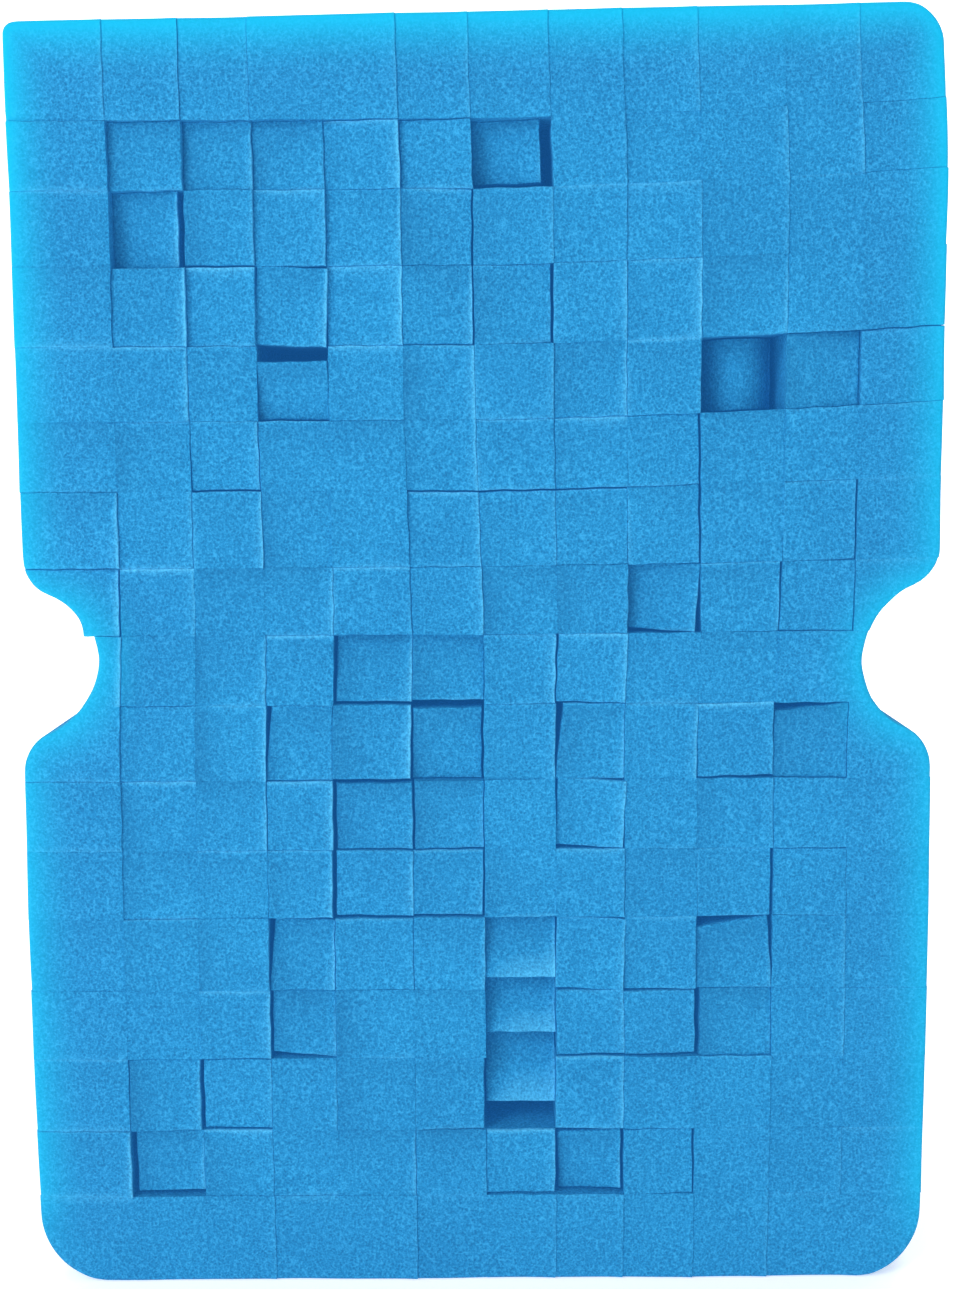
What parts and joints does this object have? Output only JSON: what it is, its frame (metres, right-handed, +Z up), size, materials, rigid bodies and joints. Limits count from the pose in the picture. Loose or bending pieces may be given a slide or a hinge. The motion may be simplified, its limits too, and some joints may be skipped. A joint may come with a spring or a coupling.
{
  "type": "sponge",
  "caption": "Cross-cut foam wash sponge with a half-round grip in each side; its face of square fingers bends open and springs back.",
  "frame": {"origin": "centre of the sponge's footprint, on the surface it stands on", "axes": "+Z up the long side; +X to the right seen from the fingered face; +Y from the fingered face to the uncut back"},
  "size_m": [0.159, 0.064, 0.2239],
  "materials": {
    "cut_foam": "matte open-cell foam",
    "web_foam": "matte open-cell foam"
  },
  "bodies": {
    "row_01": {"back_web_01": "web_foam", "finger_row_01": "cut_foam"},
    "row_02": {"back_web_02": "web_foam", "finger_row_02": "cut_foam"},
    "row_03": {"back_web_03": "web_foam", "finger_row_03": "cut_foam"},
    "row_04": {"back_web_04": "web_foam", "finger_row_04": "cut_foam"},
    "row_05": {"back_web_05": "web_foam", "finger_row_05": "cut_foam"},
    "row_06": {"back_web_06": "web_foam", "finger_row_06": "cut_foam"},
    "row_07": {"back_web_07": "web_foam", "finger_row_07": "cut_foam"},
    "row_08": {"back_web_08": "web_foam", "finger_row_08": "cut_foam"},
    "row_09": {"back_web_09": "web_foam", "finger_row_09": "cut_foam"},
    "row_10": {"back_web_10": "web_foam", "finger_row_10": "cut_foam"},
    "row_11": {"back_web_11": "web_foam", "finger_row_11": "cut_foam"},
    "row_12": {"back_web_12": "web_foam", "finger_row_12": "cut_foam"},
    "row_13": {"back_web_13": "web_foam", "finger_row_13": "cut_foam"},
    "row_14": {"back_web_14": "web_foam", "finger_row_14": "cut_foam"},
    "row_15": {"back_web_15": "web_foam", "finger_row_15": "cut_foam"},
    "row_16": {"back_web_16": "web_foam", "finger_row_16": "cut_foam"},
    "row_17": {"back_web_17": "web_foam", "finger_row_17": "cut_foam"},
    "finger_r16_c02": {"finger_r16_c02": "cut_foam"},
    "finger_r16_c03": {"finger_r16_c03": "cut_foam"},
    "finger_r16_c04": {"finger_r16_c04": "cut_foam"},
    "finger_r16_c07": {"finger_r16_c07": "cut_foam"},
    "finger_r15_c02": {"finger_r15_c02": "cut_foam"},
    "finger_r13_c04": {"finger_r13_c04": "cut_foam"},
    "finger_r13_c10": {"finger_r13_c10": "cut_foam"},
    "finger_r13_c11": {"finger_r13_c11": "cut_foam"},
    "finger_r10_c09": {"finger_r10_c09": "cut_foam"},
    "finger_r09_c05": {"finger_r09_c05": "cut_foam"},
    "finger_r09_c06": {"finger_r09_c06": "cut_foam"},
    "finger_r08_c04": {"finger_r08_c04": "cut_foam"},
    "finger_r08_c06": {"finger_r08_c06": "cut_foam"},
    "finger_r08_c08": {"finger_r08_c08": "cut_foam"},
    "finger_r08_c11": {"finger_r08_c11": "cut_foam"},
    "finger_r07_c05": {"finger_r07_c05": "cut_foam"},
    "finger_r07_c06": {"finger_r07_c06": "cut_foam"},
    "finger_r05_c04": {"finger_r05_c04": "cut_foam"},
    "finger_r05_c07": {"finger_r05_c07": "cut_foam"},
    "finger_r05_c10": {"finger_r05_c10": "cut_foam"},
    "finger_r04_c04": {"finger_r04_c04": "cut_foam"},
    "finger_r04_c07": {"finger_r04_c07": "cut_foam"},
    "finger_r04_c10": {"finger_r04_c10": "cut_foam"},
    "finger_r03_c07": {"finger_r03_c07": "cut_foam"},
    "finger_r02_c02": {"finger_r02_c02": "cut_foam"},
    "finger_r02_c08": {"finger_r02_c08": "cut_foam"}
  },
  "joints": [
    {"name": "bend_02", "type": "hinge", "parent": "row_01", "child": "row_02", "pos_m": [0, 0.032, 0.016], "axis": [-1, 0, 0], "range_deg": [0, 5], "stiffness_Nm_per_rad": 0.2},
    {"name": "bend_03", "type": "hinge", "parent": "row_02", "child": "row_03", "pos_m": [0, 0.032, 0.0287], "axis": [-1, 0, 0], "range_deg": [0, 5], "stiffness_Nm_per_rad": 0.2},
    {"name": "bend_04", "type": "hinge", "parent": "row_03", "child": "row_04", "pos_m": [0, 0.032, 0.0414], "axis": [-1, 0, 0], "range_deg": [0, 5], "stiffness_Nm_per_rad": 0.2},
    {"name": "bend_05", "type": "hinge", "parent": "row_04", "child": "row_05", "pos_m": [0, 0.032, 0.0541], "axis": [-1, 0, 0], "range_deg": [0, 5], "stiffness_Nm_per_rad": 0.2},
    {"name": "bend_06", "type": "hinge", "parent": "row_05", "child": "row_06", "pos_m": [0, 0.032, 0.0668], "axis": [-1, 0, 0], "range_deg": [0, 5], "stiffness_Nm_per_rad": 0.2},
    {"name": "bend_07", "type": "hinge", "parent": "row_06", "child": "row_07", "pos_m": [0, 0.032, 0.0795], "axis": [-1, 0, 0], "range_deg": [0, 5], "stiffness_Nm_per_rad": 0.2},
    {"name": "bend_08", "type": "hinge", "parent": "row_07", "child": "row_08", "pos_m": [0, 0.032, 0.0922], "axis": [-1, 0, 0], "range_deg": [0, 5], "stiffness_Nm_per_rad": 0.2},
    {"name": "bend_09", "type": "hinge", "parent": "row_08", "child": "row_09", "pos_m": [0, 0.032, 0.1049], "axis": [-1, 0, 0], "range_deg": [0, 5], "stiffness_Nm_per_rad": 0.2},
    {"name": "bend_10", "type": "hinge", "parent": "row_09", "child": "row_10", "pos_m": [0, 0.032, 0.1176], "axis": [-1, 0, 0], "range_deg": [0, 5], "stiffness_Nm_per_rad": 0.2},
    {"name": "bend_11", "type": "hinge", "parent": "row_10", "child": "row_11", "pos_m": [0, 0.032, 0.1303], "axis": [-1, 0, 0], "range_deg": [0, 5], "stiffness_Nm_per_rad": 0.2},
    {"name": "bend_12", "type": "hinge", "parent": "row_11", "child": "row_12", "pos_m": [0, 0.032, 0.143], "axis": [-1, 0, 0], "range_deg": [0, 5], "stiffness_Nm_per_rad": 0.2},
    {"name": "bend_13", "type": "hinge", "parent": "row_12", "child": "row_13", "pos_m": [0, 0.032, 0.1557], "axis": [-1, 0, 0], "range_deg": [0, 5], "stiffness_Nm_per_rad": 0.2},
    {"name": "bend_14", "type": "hinge", "parent": "row_13", "child": "row_14", "pos_m": [0, 0.032, 0.1684], "axis": [-1, 0, 0], "range_deg": [0, 5], "stiffness_Nm_per_rad": 0.2},
    {"name": "bend_15", "type": "hinge", "parent": "row_14", "child": "row_15", "pos_m": [0, 0.032, 0.1811], "axis": [-1, 0, 0], "range_deg": [0, 5], "stiffness_Nm_per_rad": 0.2},
    {"name": "bend_16", "type": "hinge", "parent": "row_15", "child": "row_16", "pos_m": [0, 0.032, 0.1938], "axis": [-1, 0, 0], "range_deg": [0, 5], "stiffness_Nm_per_rad": 0.2},
    {"name": "bend_17", "type": "hinge", "parent": "row_16", "child": "row_17", "pos_m": [0, 0.032, 0.2065], "axis": [-1, 0, 0], "range_deg": [0, 5], "stiffness_Nm_per_rad": 0.2},
    {"name": "press_r16_c02", "type": "slide", "parent": "row_16", "child": "finger_r16_c02", "axis": [0, 1, 0], "range_m": [-0.001, 0.008], "stiffness_N_per_m": 20},
    {"name": "press_r16_c03", "type": "slide", "parent": "row_16", "child": "finger_r16_c03", "axis": [0, 1, 0], "range_m": [-0.0016, 0.008], "stiffness_N_per_m": 20},
    {"name": "press_r16_c04", "type": "slide", "parent": "row_16", "child": "finger_r16_c04", "axis": [0, 1, 0], "range_m": [-0.0012, 0.008], "stiffness_N_per_m": 20},
    {"name": "press_r16_c07", "type": "slide", "parent": "row_16", "child": "finger_r16_c07", "axis": [0.0444, 0.9988, -0.0222], "range_m": [-0.003, 0.008], "stiffness_N_per_m": 20},
    {"name": "press_r15_c02", "type": "slide", "parent": "row_15", "child": "finger_r15_c02", "axis": [0.0355, 0.9994, 0], "range_m": [-0.003, 0.008], "stiffness_N_per_m": 20},
    {"name": "lean_r13_c04", "type": "hinge", "parent": "row_13", "child": "finger_r13_c04", "pos_m": [-0.03075, 0.016, 0.16325], "axis": [-1, 0, 0], "range_deg": [0, 2.91], "stiffness_Nm_per_rad": 0.01},
    {"name": "press_r13_c10", "type": "slide", "parent": "row_13", "child": "finger_r13_c10", "axis": [0.0138, 0.9999, 0], "range_m": [-0.0045, 0.008], "stiffness_N_per_m": 20},
    {"name": "press_r13_c11", "type": "slide", "parent": "row_13", "child": "finger_r13_c11", "axis": [0, 1, 0], "range_m": [-0.0012, 0.008], "stiffness_N_per_m": 20},
    {"name": "press_r10_c09", "type": "slide", "parent": "row_10", "child": "finger_r10_c09", "axis": [0.0172, 0.9998, -0.0086], "range_m": [-0.0015, 0.008], "stiffness_N_per_m": 20},
    {"name": "press_r09_c05", "type": "slide", "parent": "row_09", "child": "finger_r09_c05", "axis": [-0.0172, 0.9997, -0.0172], "range_m": [-0.0015, 0.008], "stiffness_N_per_m": 20},
    {"name": "press_r09_c06", "type": "slide", "parent": "row_09", "child": "finger_r09_c06", "axis": [0, 0.9999, -0.0172], "range_m": [-0.0015, 0.008], "stiffness_N_per_m": 20},
    {"name": "lean_r08_c04", "type": "hinge", "parent": "row_08", "child": "finger_r08_c04", "pos_m": [-0.03115, 0.016, 0.09855], "axis": [0, 0, -1], "range_deg": [0, 0.967], "stiffness_Nm_per_rad": 0.01},
    {"name": "press_r08_c06", "type": "slide", "parent": "row_08", "child": "finger_r08_c06", "axis": [0.0086, 0.9998, 0.0172], "range_m": [-0.0015, 0.008], "stiffness_N_per_m": 20},
    {"name": "lean_r08_c08", "type": "hinge", "parent": "row_08", "child": "finger_r08_c08", "pos_m": [0.01965, 0.016, 0.09855], "axis": [0, 0, -1], "range_deg": [0, 0.967], "stiffness_Nm_per_rad": 0.01},
    {"name": "lean_r08_c11", "type": "hinge", "parent": "row_08", "child": "finger_r08_c11", "pos_m": [0.05815, 0.016, 0.09895], "axis": [-1, 0, 0], "range_deg": [0, 0.967], "stiffness_Nm_per_rad": 0.01},
    {"name": "lean_r07_c05", "type": "hinge", "parent": "row_07", "child": "finger_r07_c05", "pos_m": [-0.01835, 0.016, 0.0861], "axis": [-0.6402, 0, -0.7682], "range_deg": [0, 0.948], "stiffness_Nm_per_rad": 0.01},
    {"name": "lean_r07_c06", "type": "hinge", "parent": "row_07", "child": "finger_r07_c06", "pos_m": [-0.00565, 0.016, 0.08585], "axis": [0, 0, -1], "range_deg": [0, 0.728], "stiffness_Nm_per_rad": 0.01},
    {"name": "press_r05_c04", "type": "slide", "parent": "row_05", "child": "finger_r05_c04", "axis": [-0.0128, 0.9999, 0], "range_m": [-0.001, 0.008], "stiffness_N_per_m": 20},
    {"name": "press_r05_c07", "type": "slide", "parent": "row_05", "child": "finger_r05_c07", "axis": [0, 0.9992, -0.0408], "range_m": [-0.0015, 0.008], "stiffness_N_per_m": 20},
    {"name": "lean_r05_c10", "type": "hinge", "parent": "row_05", "child": "finger_r05_c10", "pos_m": [0.04585, 0.016, 0.06085], "axis": [-0.7071, 0, 0.7071], "range_deg": [0, 1.37], "stiffness_Nm_per_rad": 0.01},
    {"name": "lean_r04_c04", "type": "hinge", "parent": "row_04", "child": "finger_r04_c04", "pos_m": [-0.031, 0.016, 0.04705], "axis": [0.9417, 0, -0.3363], "range_deg": [0, 1.8], "stiffness_Nm_per_rad": 0.01},
    {"name": "press_r04_c07", "type": "slide", "parent": "row_04", "child": "finger_r04_c07", "axis": [0, 0.9961, -0.0885], "range_m": [-0.003, 0.008], "stiffness_N_per_m": 20},
    {"name": "lean_r04_c10", "type": "hinge", "parent": "row_04", "child": "finger_r04_c10", "pos_m": [0.04485, 0.016, 0.04775], "axis": [0, 0, -1], "range_deg": [0, 1.45], "stiffness_Nm_per_rad": 0.01},
    {"name": "press_r03_c07", "type": "slide", "parent": "row_03", "child": "finger_r03_c07", "axis": [0, 0.9961, -0.0883], "range_m": [-0.004, 0.008], "stiffness_N_per_m": 20},
    {"name": "lean_r02_c02", "type": "hinge", "parent": "row_02", "child": "finger_r02_c02", "pos_m": [-0.0566, 0.016, 0.0219], "axis": [0.7071, 0, -0.7071], "range_deg": [0, 1.54], "stiffness_Nm_per_rad": 0.01},
    {"name": "press_r02_c08", "type": "slide", "parent": "row_02", "child": "finger_r02_c08", "axis": [0.0085, 0.9999, 0.0128], "range_m": [-0.0012, 0.008], "stiffness_N_per_m": 20}
  ],
  "couplings": [
    {"joint": "bend_03", "follows": "bend_02", "ratio": 1},
    {"joint": "bend_04", "follows": "bend_02", "ratio": 1},
    {"joint": "bend_05", "follows": "bend_02", "ratio": 1},
    {"joint": "bend_06", "follows": "bend_02", "ratio": 1},
    {"joint": "bend_07", "follows": "bend_02", "ratio": 1},
    {"joint": "bend_08", "follows": "bend_02", "ratio": 1},
    {"joint": "bend_09", "follows": "bend_02", "ratio": 1},
    {"joint": "bend_10", "follows": "bend_02", "ratio": 1},
    {"joint": "bend_11", "follows": "bend_02", "ratio": 1},
    {"joint": "bend_12", "follows": "bend_02", "ratio": 1},
    {"joint": "bend_13", "follows": "bend_02", "ratio": 1},
    {"joint": "bend_14", "follows": "bend_02", "ratio": 1},
    {"joint": "bend_15", "follows": "bend_02", "ratio": 1},
    {"joint": "bend_16", "follows": "bend_02", "ratio": 1},
    {"joint": "bend_17", "follows": "bend_02", "ratio": 1}
  ]
}
